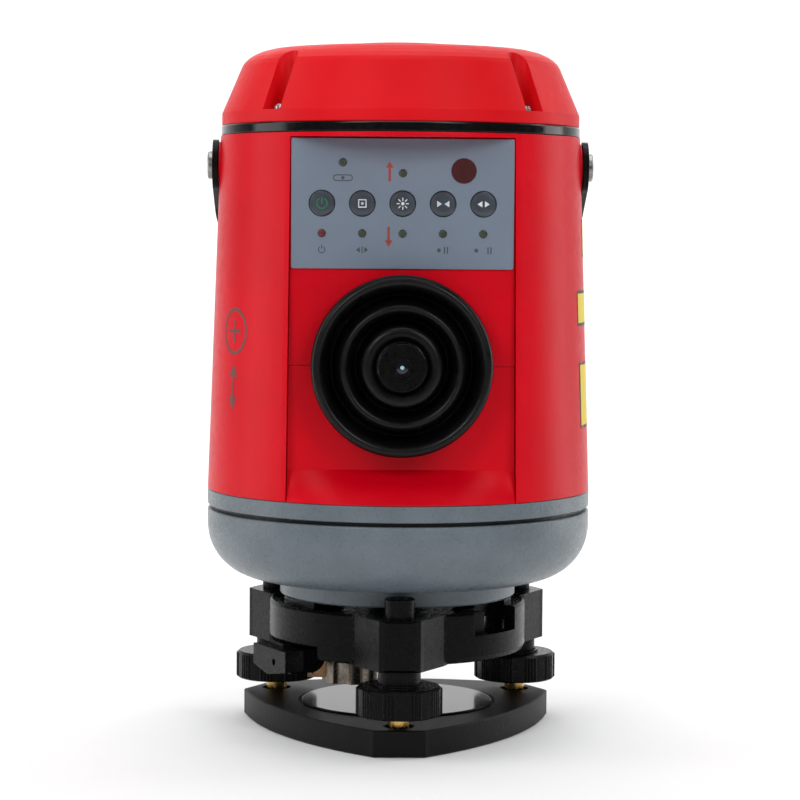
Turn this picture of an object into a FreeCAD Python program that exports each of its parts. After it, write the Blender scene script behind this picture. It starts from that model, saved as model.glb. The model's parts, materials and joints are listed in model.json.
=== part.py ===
import FreeCAD, Part
import math
import os

# Self-levelling laser plummet on a three-screw tribrach, in millimetres.
# Origin: mouth of the tripod thread, at the centre of the base plate's underside.
# +Z is up, the keypad and the eyepiece face -Y, and +X is the user's right.

Vec = FreeCAD.Vector
ORIGIN = Vec(0, 0, 0)
ALONG_X = Vec(1, 0, 0)
ALONG_Z = Vec(0, 0, 1)

# Heights of the stack, from the tripod up
PLATE_TOP = 11.2
KNOB_BOTTOM = 16.2
KNOB_TOP = 28.2
KNOB_LIP_TOP = 29.2
BODY_BOTTOM = 35.0
DECK_BOTTOM = 50.0
BODY_TOP = 56.3
SEAT_TOP = 58.6
BOWL_BOTTOM = 66.5
BOWL_TOP = 96.1
FLOOR_BOTTOM = 97.8
HEAD_FLOOR = 101.8
FLOOR_TOP = 104.6
SHELL_BOTTOM = 104.8
SHELL_TOP = 255.8
BAND_TOP = 260.0
CAP_TOP = 293.6
BEZEL_TOP = 295.0
EYE_HEIGHT = 160.7
HANDLE_HEIGHT = 243.3

# Base plate and foot screws
SCREW_CIRCLE = 61.5
SCREW_ANGLES = {"front": 270, "right": 30, "left": 150}
CORNER_REACH = 71.8
CORNER_HALF = 10.75
CORNER_CHAMFER = 1.8
MID_SIDE_REACH = 55.4
SPINDLE_RADIUS = 4.5
THREAD_RADIUS = 4.0
RUNNING_GAP = 0.05
SPINDLE_HOLE = 6.4
KNOB_RADIUS = 18.0
KNOB_GROUPS = 10
KNOB_RIDGES = 4
KNOB_PHASE = 21.7
BUSH_RADIUS = 8.9
TRIPOD_THREAD_RADIUS = 6.8
DISC_RADIUS = 41.3
DISC_TOP = 11.9
INSERT_RADIUS = 11.0
SPRING_TOP = 2.2

# Tribrach body and its lock
BODY_RADIUS = 55.5
BODY_WALL = 5.0
BOSS_TIP = 72.5
PAD_ANGLES = (90, 210, 330)
STUD_CIRCLE = 39.0
STUD_RADIUS = 4.9
STUD_SLOT = 28.5
CLAMP_HUB_RADIUS = 16.0
BEAM_BORE = 12.5
LEVER_NORMAL = 207.6
LEVER_REACH = 62.2
LEVER_INNER = 52.6
LEVER_TOP = 38.6
LEVER_SCREW_HEIGHT = 33.0
LEVER_SCREW_SIDE = 5.2
LOBED_NUT_PLACE = (-20.5, -17.0)

# Instrument base, head and front recess
BOWL_RADIUS = 82.5
BOWL_CURVE = 23.0
SPIGOT_RADIUS = 51.0
SPINDLE_TUBE_RADIUS = 20.0
SHELL_BOTTOM_RADIUS = 82.5
SHELL_TOP_RADIUS = 77.2
WALL = 3.0
RECESS_DEPTH = 62.0
RECESS_TOP = 254.0
RAMP_TOP = 117.7
RECESS_HALF_TOP = 45.9
RECESS_HALF_BOTTOM = 47.2
COVER_GAP = 0.25
COVER_LINE = 160.5

# Keypad
PANEL_FRONT = 62.8
PANEL_HALF = 45.5
PANEL_BOTTOM = 200.3
PANEL_TOP = 253.4
KEY_RADIUS = 5.15
KEY_HEIGHT = 226.9
KEY_PLACES = {"key_power": -33.0, "key_set": -16.5, "key_laser": 0.0, "key_near": 16.5, "key_far": 33.0}
LED_RADIUS = 1.7
LED_ROW = 214.7
STATUS_LEDS = ((-24.5, 243.6), (0.0, 239.3), (-16.5, LED_ROW), (0.0, LED_ROW), (16.5, LED_ROW),
               (33.0, LED_ROW))
POWER_LED = (-33.0, LED_ROW)
IR_PLACE = (24.9, 240.4)

# Top cap
CAP_SCREW_ANGLES = (45, 135, 225, 315)
POCKET_CIRCLE = 68.5
POCKET_RADIUS = 5.1
POCKET_FLOOR = 265.3
CAP_SLOPE_START = 265.2
CAP_SCREW_CIRCLE = 70.5
BEZEL_RADIUS = 22.9

# Carrying handle, hanging behind the housing
HANDLE_INNER = 78.2
HANDLE_THICKNESS = 2.4
HANDLE_ARM = 23.0
HANDLE_WIDTH = 15.0
HANDLE_EYE_RADIUS = 11.0
HANDLE_DROOP = 33.0
PIVOT_RADIUS = 3.5
BOLT_SEAT = 80.8
BOLT_FACE = 82.9
PIVOT_SEAT = 77.9

# Telescope, hung in a gimbal on the eyepiece axis
TRUNNION_RADIUS = 3.0
ARM_RADIUS = 8.0
EYEPIECE_SHANK = 6.0
BARREL_BORE = 19.5
FOCUS_SCREW_X = 29.0
FOCUS_SCREW_RADIUS = 1.5

# Battery door at the back
DOOR_BOTTOM = 122.2
DOOR_TOP = 178.0
DOOR_HALF = 32.0
DOOR_GAP = 0.4
DOOR_AXIS_Y = 84.6
DOOR_AXIS_Z = 121.0
KNUCKLE_RADIUS = 2.2
DOOR_PIN_RADIUS = 1.0
KNUCKLE_IN = 5.0
KNUCKLE_OUT = 12.0
LATCH_HEIGHT = 168.5
LATCH_RADIUS = 6.0


# ---------- plain shapes ----------

def cylinder(radius, bottom, top, x=0.0, y=0.0):
    return Part.makeCylinder(radius, top - bottom, Vec(x, y, bottom))


def tube(outer, inner, bottom, top, x=0.0, y=0.0):
    return cylinder(outer, bottom, top, x, y).cut(cylinder(inner, bottom - 1, top + 1, x, y))


def block(x_min, x_max, y_min, y_max, z_min, z_max):
    return Part.makeBox(x_max - x_min, y_max - y_min, z_max - z_min, Vec(x_min, y_min, z_min))


def rod_x(radius, x_min, x_max, y, z):
    return Part.makeCylinder(radius, x_max - x_min, Vec(x_min, y, z), ALONG_X)


def rod_front(radius, front, back, x, z):
    """Round bar along Y; front and back are distances towards the user."""
    return Part.makeCylinder(radius, front - back, Vec(x, -back, z), Vec(0, -1, 0))


def prism(points, bottom, top):
    """Upright prism over (x, y) corners."""
    corners = [Vec(x, y, bottom) for x, y in points]
    return Part.Face(Part.makePolygon(corners + corners[:1])).extrude(Vec(0, 0, top - bottom))


def turned(profile):
    """Solid turned about Z from (radius, height) corners."""
    corners = [Vec(radius, 0, height) for radius, height in profile]
    return Part.Face(Part.makePolygon(corners + corners[:1])).revolve(ORIGIN, ALONG_Z, 360)


def turned_front(profile):
    """Solid turned about the eyepiece axis from (radius, distance towards the user) corners."""
    shape = turned(profile)
    shape.rotate(ORIGIN, ALONG_X, 90)
    shape.translate(Vec(0, 0, EYE_HEIGHT))
    return shape


def sector(inner, outer, start, end, bottom, top):
    """Part of an upright ring between two plan angles in degrees."""
    ring = cylinder(outer, bottom, top)
    if inner > 0:
        ring = tube(outer, inner, bottom, top)
    reach = 2.0 * outer
    steps = 4
    points = [(0.0, 0.0)]
    for step in range(steps + 1):
        points.append(polar(reach, start + (end - start) * step / steps))
    return ring.common(prism(points, bottom - 1, top + 1))


def polar(radius, degrees):
    angle = math.radians(degrees)
    return radius * math.cos(angle), radius * math.sin(angle)


def turned_by(shape, degrees):
    copy = shape.copy()
    copy.rotate(ORIGIN, ALONG_Z, degrees)
    return copy


def united(shapes):
    whole = shapes[0]
    for shape in shapes[1:]:
        whole = whole.fuse(shape)
    return whole.removeSplitter()


def shell_radius(height):
    share = (height - SHELL_BOTTOM) / (SHELL_TOP - SHELL_BOTTOM)
    return SHELL_BOTTOM_RADIUS + (SHELL_TOP_RADIUS - SHELL_BOTTOM_RADIUS) * share


def side_span(side, near, far):
    """Lowest and highest X of a span on one side, 1 for the user's right and -1 for the left."""
    return min(near * side, far * side), max(near * side, far * side)


def side_rod(side, radius, near, far):
    """Bar along X on one side, on the handle's axis."""
    low, high = side_span(side, near, far)
    return rod_x(radius, low, high, 0, HANDLE_HEIGHT)


def screw_place(name):
    return polar(SCREW_CIRCLE, SCREW_ANGLES[name])


# ---------- base plate group ----------

def corner_points(degrees):
    """The four outline points of one truncated corner, in the direction of rising angle."""
    across = polar(1.0, degrees + 90)
    out = polar(1.0, degrees)
    offsets = ((-CORNER_HALF - CORNER_CHAMFER, -CORNER_CHAMFER), (-CORNER_HALF, 0.0),
               (CORNER_HALF, 0.0), (CORNER_HALF + CORNER_CHAMFER, -CORNER_CHAMFER))
    points = []
    for side, back in offsets:
        reach = CORNER_REACH + back
        points.append(Vec(out[0] * reach + across[0] * side, out[1] * reach + across[1] * side, 0))
    return points


def plate_outline():
    corners = [corner_points(degrees) for degrees in (30, 150, 270)]
    edges = []
    for index, points in enumerate(corners):
        for start, end in zip(points, points[1:]):
            edges.append(Part.makeLine(start, end))
        mid_x, mid_y = polar(MID_SIDE_REACH, 90 + 120 * index)
        next_start = corners[(index + 1) % 3][0]
        edges.append(Part.Arc(points[-1], Vec(mid_x, mid_y, 0), next_start).toShape())
    return Part.Face(Part.Wire(edges))


def spring_arm(width, length):
    bar = block(20, length, -width, width, -1, SPRING_TOP)
    return bar.fuse(cylinder(width, -1, SPRING_TOP, length, 0))


def make_base_plate():
    plate = plate_outline().extrude(Vec(0, 0, PLATE_TOP))
    rims = [edge for edge in plate.Edges if edge.BoundBox.ZLength < 0.01]
    plate = plate.makeChamfer(0.5, rims)
    plate = plate.cut(tube(DISC_RADIUS + 2.0, DISC_RADIUS, PLATE_TOP - 0.8, PLATE_TOP + 1))
    disc = turned([(0, PLATE_TOP - 1), (DISC_RADIUS, PLATE_TOP - 1), (DISC_RADIUS, DISC_TOP - 0.3),
                   (DISC_RADIUS - 0.3, DISC_TOP), (0, DISC_TOP)])
    plate = plate.fuse(disc)
    plate = plate.cut(cylinder(INSERT_RADIUS, -1, DISC_TOP + 1))
    recess = tube(33, 19, -1, SPRING_TOP)
    for degrees in (30, 150, 270):
        recess = recess.fuse(turned_by(spring_arm(7.0, SCREW_CIRCLE), degrees))
    plate = plate.cut(recess)
    for name in SCREW_ANGLES:
        x, y = screw_place(name)
        plate = plate.cut(cylinder(SPINDLE_HOLE, 1, PLATE_TOP + 1, x, y))
    for degrees in PAD_ANGLES:
        x, y = polar(26, degrees)
        plate = plate.cut(cylinder(1.5, 1, 7.2, x, y))
    return plate


def make_tripod_thread_insert():
    return tube(INSERT_RADIUS, TRIPOD_THREAD_RADIUS, 0, DISC_TOP)


def make_spring_plate():
    plate = tube(32.5, 19.5, -1, SPRING_TOP)
    for degrees in (30, 150, 270):
        plate = plate.fuse(turned_by(spring_arm(6.5, SCREW_CIRCLE), degrees))
    plate = plate.cut(cylinder(100, -2, 1.0))
    plate = plate.cut(cylinder(19.5, -2, 5))
    for name in SCREW_ANGLES:
        x, y = screw_place(name)
        plate = plate.cut(cylinder(2.5, 0, 5, x, y))
    for degrees in PAD_ANGLES:
        x, y = polar(26, degrees)
        plate = plate.cut(cylinder(1.5, 0, 5, x, y))
    return plate


def make_spring_plate_screws():
    screws = []
    for degrees in PAD_ANGLES:
        x, y = polar(26, degrees)
        head = cylinder(2.8, 0.2, 1.0, x, y).cut(block(x - 3, x + 3, y - 0.3, y + 0.3, 0, 0.5))
        screws.append(head.fuse(cylinder(1.5, 1.0, 7.2, x, y)))
    return screws


# ---------- foot screws ----------

def knob_outline(bottom):
    """Ten smooth scallops with four fine ridges between each pair."""
    pitch = 360.0 / KNOB_GROUPS
    scallop = 17.0
    ridge = (pitch - scallop) / KNOB_RIDGES
    low = KNOB_RADIUS - 0.55

    def at(radius, degrees):
        x, y = polar(radius, degrees)
        return Vec(x, y, bottom)

    edges = []
    for group in range(KNOB_GROUPS):
        centre = KNOB_PHASE + pitch * group
        start = centre - scallop / 2
        edges.append(Part.Arc(at(low, start), at(low - 0.1, centre), at(low, start + scallop)).toShape())
        for index in range(KNOB_RIDGES):
            left = start + scallop + ridge * index
            crest = at(KNOB_RADIUS, left + ridge / 2)
            edges.append(Part.Arc(at(low, left), crest, at(low, left + ridge)).toShape())
    return Part.Face(Part.Wire(Part.__sortEdges__(edges)))


def make_foot_knob(name):
    fluted = knob_outline(KNOB_BOTTOM).extrude(Vec(0, 0, KNOB_TOP - KNOB_BOTTOM))
    rim = turned([(0, KNOB_BOTTOM), (16.9, KNOB_BOTTOM), (18.5, KNOB_BOTTOM + 1.1), (18.5, KNOB_TOP - 1.5),
                  (16.6, KNOB_TOP), (0, KNOB_TOP)])
    knob = fluted.common(rim)
    knob = knob.fuse(cylinder(10.4, KNOB_TOP - 1, KNOB_LIP_TOP))
    knob = knob.cut(cylinder(BUSH_RADIUS + 0.5, 20.5, KNOB_TOP + 5))
    knob = knob.cut(cylinder(SPINDLE_RADIUS, KNOB_BOTTOM - 1, 21))
    x, y = screw_place(name)
    knob.translate(Vec(x, y, 0))
    return knob


def make_foot_spindle(name):
    spindle = turned([(0, 2.6), (3.2, 2.6), (5.4, 4.6), (5.4, 8.6), (SPINDLE_RADIUS, 10.0),
                      (SPINDLE_RADIUS, 20.5), (THREAD_RADIUS, 20.5), (THREAD_RADIUS, 51.2),
                      (THREAD_RADIUS - 0.8, 52.0), (0, 52.0)])
    x, y = screw_place(name)
    spindle.translate(Vec(x, y, 0))
    return spindle


# ---------- tribrach body and lock ----------

def boss_prism():
    """One foot-screw boss along +X, flaring into the round wall."""
    flare = 18.6
    root = 50.0
    side = [(root, flare + 1.6), (54.0, flare), (68.0, 10.0), (70.6, 8.6), (72.1, 6.2), (BOSS_TIP, 3.0)]
    mirrored = [(x, -y) for x, y in side]
    return prism(side + mirrored[::-1], BODY_BOTTOM, BODY_TOP)


def make_tribrach_body():
    drum = turned([(0, BODY_BOTTOM), (BODY_RADIUS - 2.6, BODY_BOTTOM),
                   (BODY_RADIUS - 0.8, BODY_BOTTOM + 0.8), (BODY_RADIUS, BODY_BOTTOM + 2.6),
                   (BODY_RADIUS, BODY_TOP - 1.0), (BODY_RADIUS - 1.0, BODY_TOP), (0, BODY_TOP)])
    trim = turned([(0, BODY_BOTTOM), (BOSS_TIP - 1.2, BODY_BOTTOM), (BOSS_TIP, BODY_BOTTOM + 1.2),
                   (BOSS_TIP, BODY_TOP - 0.9), (BOSS_TIP - 0.9, BODY_TOP), (0, BODY_TOP)])
    bosses = [turned_by(boss_prism(), degrees).common(trim) for degrees in SCREW_ANGLES.values()]
    body = united([drum] + bosses)
    body = body.cut(cylinder(BODY_RADIUS - BODY_WALL, BODY_BOTTOM - 1, DECK_BOTTOM))
    body = body.cut(cylinder(30, BODY_BOTTOM, BODY_TOP + 1))
    hub = tube(31, CLAMP_HUB_RADIUS + RUNNING_GAP, DECK_BOTTOM, BODY_TOP - 1.5)
    body = body.fuse(hub)
    for degrees in PAD_ANGLES:
        body = body.fuse(sector(33, 50.5, degrees - 15, degrees + 15, BODY_TOP - 1, SEAT_TOP))
    body = body.cut(sector(45.5, 60, -55, -26, 46.3, SEAT_TOP + 1))
    body = body.cut(sector(38, 50.5, -55, -26, 46.3, 52.0))
    body = body.fuse(sector(46.4, 50.2, -55.5, -43.5, 46.0, 55.3))
    body = body.cut(sector(49, 60, 172, 232, BODY_BOTTOM - 1, 41.2))
    for degrees in PAD_ANGLES:
        x, y = polar(STUD_CIRCLE, degrees)
        body = body.cut(cylinder(STUD_RADIUS + 0.4, BODY_BOTTOM, SEAT_TOP + 1, x, y))
    for name in SCREW_ANGLES:
        x, y = screw_place(name)
        body = body.cut(cylinder(6.5, BODY_BOTTOM - 1, BODY_TOP + 1, x, y))
    return body


def make_foot_screw_bushes():
    bushes = []
    for name in SCREW_ANGLES:
        x, y = screw_place(name)
        bush = cylinder(BUSH_RADIUS, 24.5, BODY_BOTTOM, x, y)
        bush = bush.fuse(cylinder(6.5, BODY_BOTTOM, BODY_TOP, x, y))
        bushes.append(bush.cut(cylinder(THREAD_RADIUS + RUNNING_GAP, 20, BODY_TOP + 1, x, y)))
    return bushes


def make_foot_screw_dust_caps():
    caps = []
    for name in SCREW_ANGLES:
        cap = turned([(4.6, BODY_TOP), (6.35, BODY_TOP), (6.35, 64.0), (5.85, 64.5), (0, 64.5), (0, 62.5),
                      (4.6, 62.5)])
        x, y = screw_place(name)
        cap.translate(Vec(x, y, 0))
        caps.append(cap)
    return caps


def make_clamp_plate():
    plate = cylinder(46, 43, 47).fuse(cylinder(CLAMP_HUB_RADIUS, 43, 54))
    plate = plate.cut(cylinder(BEAM_BORE, 42, 55))
    for degrees in PAD_ANGLES:
        slot = sector(STUD_CIRCLE - 5.6, STUD_CIRCLE + 5.6, degrees - STUD_SLOT, degrees + STUD_SLOT, 42, 48)
        plate = plate.cut(slot)
    return plate


def lever_frame(shape):
    """Place a shape drawn with its outer face across +X at the lever's own plan angle."""
    return turned_by(shape, LEVER_NORMAL)


def make_lock_lever():
    """Grip with a V-shaped lower edge outside the body's wall, on an arm that ends in a rounded web."""
    face = [(-14.7, LEVER_TOP), (-14.7, 29.8), (-1.1, 27.0), (16.2, 29.9), (16.2, LEVER_TOP)]
    corners = [Vec(LEVER_REACH, across, height) for across, height in face]
    grip = Part.Face(Part.makePolygon(corners + corners[:1])).extrude(Vec(LEVER_INNER - LEVER_REACH, 0, 0))
    plan = [(LEVER_REACH, -14.7), (LEVER_REACH, 16.2), (LEVER_INNER, 13.9), (LEVER_INNER, -12.4)]
    grip = grip.common(prism(plan, 20, 45))
    arm = block(20, LEVER_REACH - 4, -6.0, 6.0, 36.0, 40.4)
    root = block(20, 32, -6.0, 6.0, 40.4, 43.0)
    lever = united([grip, arm, root, lever_web()])
    return lever_frame(lever.cut(lever_screw_rod(1.5, 6.5, 7)))


def lever_web():
    """Upright plate under the arm, beside the leaf spring, with a round lower inner corner."""
    low = 28.4
    inner = 40.9
    radius = 6.5
    centre = Vec(inner + radius, 0, low + radius)
    diagonal = radius * math.sqrt(0.5)
    middle = Vec(centre.x - diagonal, 0, centre.z - diagonal)
    arc = Part.Arc(Vec(inner, 0, centre.z), middle, Vec(centre.x, 0, low))
    outer = LEVER_REACH - 5
    rest = Part.makePolygon([Vec(centre.x, 0, low), Vec(outer, 0, low), Vec(outer, 0, 38.0),
                             Vec(inner, 0, 38.0), Vec(inner, 0, centre.z)])
    outline = Part.Wire([arc.toShape()] + rest.Edges)
    web = Part.Face(outline).extrude(Vec(0, 6.0, 0))
    web.translate(Vec(0, 5.4, 0))
    return web


def lever_screw_rod(radius, depth, length):
    """Bar along the set screw's axis, starting at a depth behind the lever's outer face."""
    start = Vec(LEVER_REACH - depth, LEVER_SCREW_SIDE, LEVER_SCREW_HEIGHT)
    return Part.makeCylinder(radius, length, start, ALONG_X)


def make_lever_set_screw():
    screw = lever_screw_rod(1.5, 6.5, 5)
    socket = lever_screw_rod(0.75, 2.5, 2)
    return lever_frame(screw.cut(socket))


def make_clamp_lobed_nut():
    x, y = LOBED_NUT_PLACE
    nut = cylinder(12.0, 22.6, 36.0, x, y)
    for index in range(6):
        side_x, side_y = polar(14.6, 13 + 60 * index)
        nut = nut.cut(cylinder(5.2, 22, 37, x + side_x, y + side_y))
    bore = cylinder(3.0, 22, 30, x, y)
    return nut.cut(bore)


def make_clamp_leaf_spring():
    upright = block(-38.5, -30.5, -21.2, -20.2, 24.6, 35.0)
    upright = upright.cut(Part.makeCylinder(0.8, 3, Vec(-36.2, -22, 26.4), Vec(0, 1, 0)))
    foot = block(-38.5, -33.0, -21.2, -8.0, 35.0, 36.0)
    return united([upright, foot])


# ---------- instrument base ----------

def make_base_bowl():
    centre_r = BOWL_RADIUS - BOWL_CURVE
    centre_z = BOWL_BOTTOM + BOWL_CURVE
    diagonal = math.sqrt(0.5)

    def at(radius, height):
        return Vec(radius, 0, height)

    def curve(size):
        start = at(centre_r, centre_z - size)
        middle = at(centre_r + size * diagonal, centre_z - size * diagonal)
        return start, Part.Arc(start, middle, at(centre_r + size, centre_z)).toShape()

    outer_start, outer_curve = curve(BOWL_CURVE)
    inner_start, inner_curve = curve(BOWL_CURVE - WALL - 0.5)
    lip = at(BOWL_RADIUS, BOWL_TOP - 0.5)
    rim = [at(BOWL_RADIUS - 0.5, BOWL_TOP), at(BOWL_RADIUS - WALL - 0.5, BOWL_TOP)]
    bearing_bore = SPINDLE_TUBE_RADIUS + RUNNING_GAP
    bottom = [at(24, inner_start.z), at(24, 90), at(bearing_bore, 90), at(bearing_bore, 64), at(14.5, 64),
              at(14.5, SEAT_TOP), at(SPIGOT_RADIUS - 0.7, SEAT_TOP), at(SPIGOT_RADIUS, SEAT_TOP + 0.7),
              at(SPIGOT_RADIUS, BOWL_BOTTOM)]
    inner_end = at(BOWL_RADIUS - WALL - 0.5, centre_z)
    edges = [Part.makePolygon([at(SPIGOT_RADIUS, BOWL_BOTTOM), outer_start]), outer_curve,
             Part.makePolygon([at(BOWL_RADIUS, centre_z), lip] + rim + [inner_end]),
             inner_curve, Part.makePolygon([inner_start] + bottom)]
    pieces = []
    for item in edges:
        pieces.extend(item.Edges)
    outline = Part.Wire(Part.__sortEdges__(pieces))
    bowl = Part.Face(outline).revolve(ORIGIN, ALONG_Z, 360)
    for degrees in PAD_ANGLES:
        x, y = polar(STUD_CIRCLE, degrees)
        bowl = bowl.cut(cylinder(3.0, SEAT_TOP - 1, SEAT_TOP + 6, x, y))
    return bowl


def make_centring_studs():
    studs = []
    for degrees in PAD_ANGLES:
        x, y = polar(STUD_CIRCLE, degrees)
        stud = turned([(0, 43.6), (3.4, 43.6), (STUD_RADIUS, 45.2), (STUD_RADIUS, SEAT_TOP), (3.0, SEAT_TOP),
                       (3.0, SEAT_TOP + 6), (0, SEAT_TOP + 6)])
        stud.translate(Vec(x, y, 0))
        studs.append(stud)
    return studs


def make_lower_window():
    return cylinder(14.5, 60.0, 62.5)


def make_gap_seal_ring():
    return turned([(BOWL_RADIUS - WALL - 0.5, 92.5), (BOWL_RADIUS - WALL - 0.5, BOWL_TOP), (80.4, BOWL_TOP),
                   (80.4, 97.4), (74, 97.4), (74, 92.5)])


def make_azimuth_bearing():
    race = tube(31, SPINDLE_TUBE_RADIUS + 1, 90, 92.4)
    balls = []
    for index in range(16):
        x, y = polar(26, 360.0 / 16 * index)
        balls.append(Part.makeSphere(1.2, Vec(x, y, 93.6)))
    return [race] + balls


# ---------- head: casing ----------

def make_head_base_ring():
    ring = turned([(14, FLOOR_BOTTOM), (82.1, FLOOR_BOTTOM), (82.55, FLOOR_BOTTOM + 0.45),
                   (82.55, FLOOR_TOP - 0.3), (82.25, FLOOR_TOP), (81.4, FLOOR_TOP), (81.4, SHELL_BOTTOM),
                   (78.6, SHELL_BOTTOM), (78.6, HEAD_FLOOR), (14, HEAD_FLOOR)])
    return ring.cut(cylinder(SPINDLE_TUBE_RADIUS, FLOOR_BOTTOM - 1, 100.0))


def make_azimuth_spindle():
    return turned([(14, 66.0), (SPINDLE_TUBE_RADIUS - 0.6, 66.0), (SPINDLE_TUBE_RADIUS, 66.6),
                   (SPINDLE_TUBE_RADIUS, 95.4), (31, 95.4), (31, FLOOR_BOTTOM),
                   (SPINDLE_TUBE_RADIUS, FLOOR_BOTTOM), (SPINDLE_TUBE_RADIUS, 100.0), (14, 100.0)])


def recess_prism(shrink):
    """Front opening of the housing, widening downwards; shrink leaves the seam round the cover."""
    top = RECESS_HALF_TOP - shrink
    bottom = RECESS_HALF_BOTTOM - shrink
    corners = [Vec(-bottom, -50, SHELL_BOTTOM - 5), Vec(bottom, -50, SHELL_BOTTOM - 5),
               Vec(top, -50, RECESS_TOP - shrink), Vec(-top, -50, RECESS_TOP - shrink)]
    return Part.Face(Part.makePolygon(corners + corners[:1])).extrude(Vec(0, -45, 0))


def shell_solid(inset):
    """Solid tapered drum; inset is the distance inside the outer surface."""
    return turned([(0, SHELL_BOTTOM), (SHELL_BOTTOM_RADIUS - inset, SHELL_BOTTOM),
                   (SHELL_TOP_RADIUS - inset, SHELL_TOP), (0, SHELL_TOP)])


def door_block(shrink):
    return block(-DOOR_HALF + shrink, DOOR_HALF - shrink, 40, 95, DOOR_BOTTOM + shrink, DOOR_TOP - shrink)


def make_housing_shell():
    shell = shell_solid(0).cut(shell_solid(WALL))
    flange = tube(SHELL_TOP_RADIUS - WALL + 0.5, 65.5, SHELL_TOP - WALL, SHELL_TOP)
    returns = shell_solid(0).common(recess_prism(-2.0)).cut(block(-60, 60, -58.5, 0, 0, 300))
    pivots = side_rod(1, 10, 70, PIVOT_SEAT).fuse(side_rod(-1, 10, 70, PIVOT_SEAT))
    shell = united([shell, flange, returns, pivots])
    shell = shell.cut(recess_prism(0))
    shell = shell.cut(door_block(0))
    for side in (-1, 1):
        shell = shell.cut(side_rod(side, PIVOT_RADIUS, 60, 90))
        low, high = side_span(side, KNUCKLE_IN, KNUCKLE_OUT)
        lug = block(low, high, 79.5, DOOR_AXIS_Y, 117.0, DOOR_AXIS_Z)
        shell = shell.fuse(door_knuckle(low, high).fuse(lug))
    shell = shell.fuse(rod_x(DOOR_PIN_RADIUS, -8, 8, DOOR_AXIS_Y, DOOR_AXIS_Z))
    for degrees in CAP_SCREW_ANGLES:
        x, y = polar(CAP_SCREW_CIRCLE, degrees)
        shell = shell.cut(cylinder(1.6, 240, 260, x, y))
    return shell


def door_knuckle(x_min, x_max):
    return rod_x(KNUCKLE_RADIUS, x_min, x_max, DOOR_AXIS_Y, DOOR_AXIS_Z)


def ramp_volume(arc_radius, flat, low, high):
    """Space in front of the ramp: straight along the flat face, round along the grey ring."""
    half = RECESS_HALF_BOTTOM + 3
    outside = 98.0
    depth = math.sqrt(arc_radius * arc_radius - half * half)

    def section(near, z, front_of):
        left = Vec(-half, -near, z)
        right = Vec(half, -near, z)
        sides = Part.makePolygon([right, Vec(half, -outside, z), Vec(-half, -outside, z), left])
        return Part.Wire([front_of(left, right)] + sides.Edges)

    def arc(left, right):
        return Part.Arc(left, Vec(0, -arc_radius, low), right).toShape()

    return Part.makeLoft([section(depth, low, arc), section(flat, high, Part.makeLine)], True, True)


def make_front_cover():
    blank = shell_solid(0).common(recess_prism(COVER_GAP))
    front_space = ramp_volume(SHELL_BOTTOM_RADIUS - 0.05, RECESS_DEPTH, SHELL_BOTTOM, RAMP_TOP)
    front_space = front_space.fuse(block(-60, 60, -98, -RECESS_DEPTH, RAMP_TOP - 0.001, 260))
    plate = blank.cut(front_space)
    back = RECESS_DEPTH - WALL
    solid_back = blank.cut(ramp_volume(SHELL_BOTTOM_RADIUS - WALL, back, SHELL_BOTTOM, RAMP_TOP - 2.0))
    solid_back = solid_back.cut(block(-60, 60, -98, -back, RAMP_TOP - 2.001, 260))
    cover = plate.cut(solid_back)
    cover = cover.cut(rod_front(33.0, 90, 50, 0, EYE_HEIGHT))
    groove = block(-50, 50, -RECESS_DEPTH - 0.2, -RECESS_DEPTH + 0.35, COVER_LINE - 0.15, COVER_LINE + 0.15)
    cover = cover.cut(groove)
    for x in KEY_PLACES.values():
        cover = cover.cut(rod_front(KEY_RADIUS + 0.45, 70, 50, x, KEY_HEIGHT))
    for x, z in STATUS_LEDS + (POWER_LED,):
        cover = cover.cut(rod_front(LED_RADIUS, 70, 50, x, z))
    x, z = IR_PLACE
    return cover.cut(rod_front(4.2, 70, 50, x, z))


def make_keypad_panel():
    panel = block(-PANEL_HALF, PANEL_HALF, -PANEL_FRONT, -RECESS_DEPTH, PANEL_BOTTOM, PANEL_TOP)
    uprights = [edge for edge in panel.Edges if edge.BoundBox.YLength > 0.5 and edge.BoundBox.XLength < 0.01
                and edge.BoundBox.ZLength < 0.01]
    panel = panel.makeFillet(0.9, uprights)
    for x in KEY_PLACES.values():
        panel = panel.cut(rod_front(KEY_RADIUS + 0.3, 70, 50, x, KEY_HEIGHT))
    for x, z in STATUS_LEDS + (POWER_LED,):
        panel = panel.cut(rod_front(LED_RADIUS, 70, 50, x, z))
    x, z = IR_PLACE
    return panel.cut(rod_front(KEY_RADIUS, 70, 50, x, z))


def make_key(name):
    x = KEY_PLACES[name]
    cap = turned([(0, 61.2), (KEY_RADIUS, 61.2), (KEY_RADIUS, 62.95), (4.7, 63.3), (3.4, 63.5), (0, 63.6)])
    stem = turned([(0, 59.4), (2.0, 59.4), (2.0, 61.2), (0, 61.2)])
    key = cap.fuse(stem)
    key.rotate(ORIGIN, ALONG_X, 90)
    key.translate(Vec(x, 0, KEY_HEIGHT))
    return key


def make_keypad_board():
    board = block(-42, 42, -57.9, -56.4, 203, 251)
    switches = []
    for x in KEY_PLACES.values():
        switches.append(rod_front(3.0, 58.4, 57.9, x, KEY_HEIGHT))
    return united([board] + switches)


def led(x, z):
    body = rod_front(LED_RADIUS, 62.9, 57.9, x, z)
    dome = Part.makeSphere(LED_RADIUS, Vec(x, -62.0, z))
    return body.fuse(dome.common(rod_front(LED_RADIUS, 63.3, 62.5, x, z)))


def make_status_leds():
    return [led(x, z) for x, z in STATUS_LEDS]


def make_power_led():
    return led(*POWER_LED)


def make_ir_window():
    x, z = IR_PLACE
    return rod_front(KEY_RADIUS, 62.95, 62.0, x, z).fuse(rod_front(4.2, 62.0, 59.0, x, z))


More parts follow.
